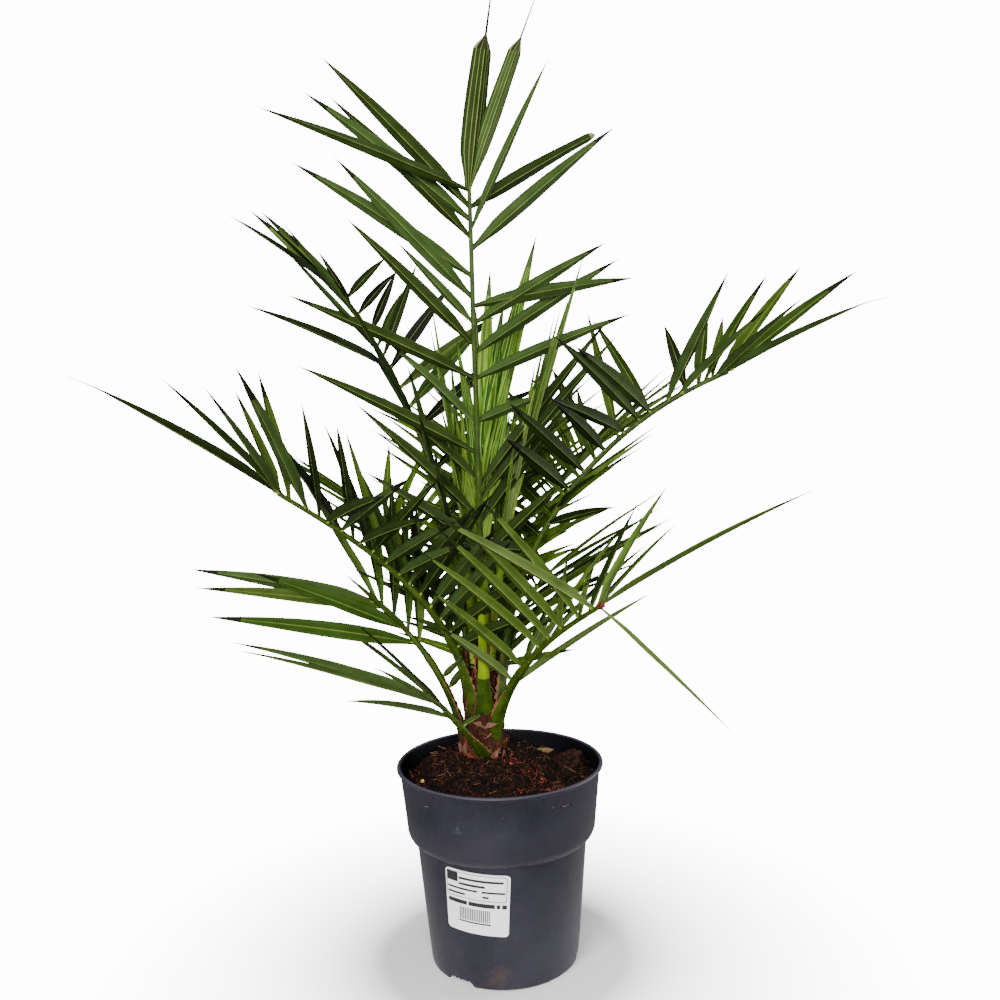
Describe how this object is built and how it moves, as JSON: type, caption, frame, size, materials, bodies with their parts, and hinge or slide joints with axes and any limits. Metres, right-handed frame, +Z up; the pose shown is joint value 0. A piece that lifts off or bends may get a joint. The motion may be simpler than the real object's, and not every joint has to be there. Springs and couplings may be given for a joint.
{
  "type": "potted date palm plant",
  "caption": "Young date palm in a round nursery pot: a short fibrous stem on heaped soil, arching feather fronds with V-set stiff leaflets, and upright young fronds in the middle.",
  "frame": {"origin": "middle of the pot's flat underside, on the ground", "axes": "+Z up, -Y towards the front that the label and the tall front frond face, +X to the right seen from the front"},
  "size_m": [0.6067, 0.5172, 0.7806],
  "materials": {
    "pot_plastic": "dark anthracite, matt, lightly scuffed",
    "label_paper": "smooth white",
    "soil": "dark brown peat crumbs",
    "stem_fibre": "red-brown fibre",
    "foliage": "satin green",
    "young_foliage": "satin bright green"
  },
  "bodies": {
    "root": {"pot": "pot_plastic", "label": "label_paper", "soil": "soil", "stem": "stem_fibre", "frond_front_tall": "foliage", "frond_upper_left": "foliage", "frond_left": "foliage", "frond_low_left": "foliage", "frond_foot_left": "foliage", "frond_low_right": "foliage", "frond_right": "foliage", "frond_back_right": "foliage", "frond_back": "foliage", "frond_back_left": "foliage", "frond_low_back_right": "foliage", "young_frond_middle": "young_foliage", "young_frond_right": "young_foliage", "young_frond_left": "young_foliage"}
  },
  "joints": []
}
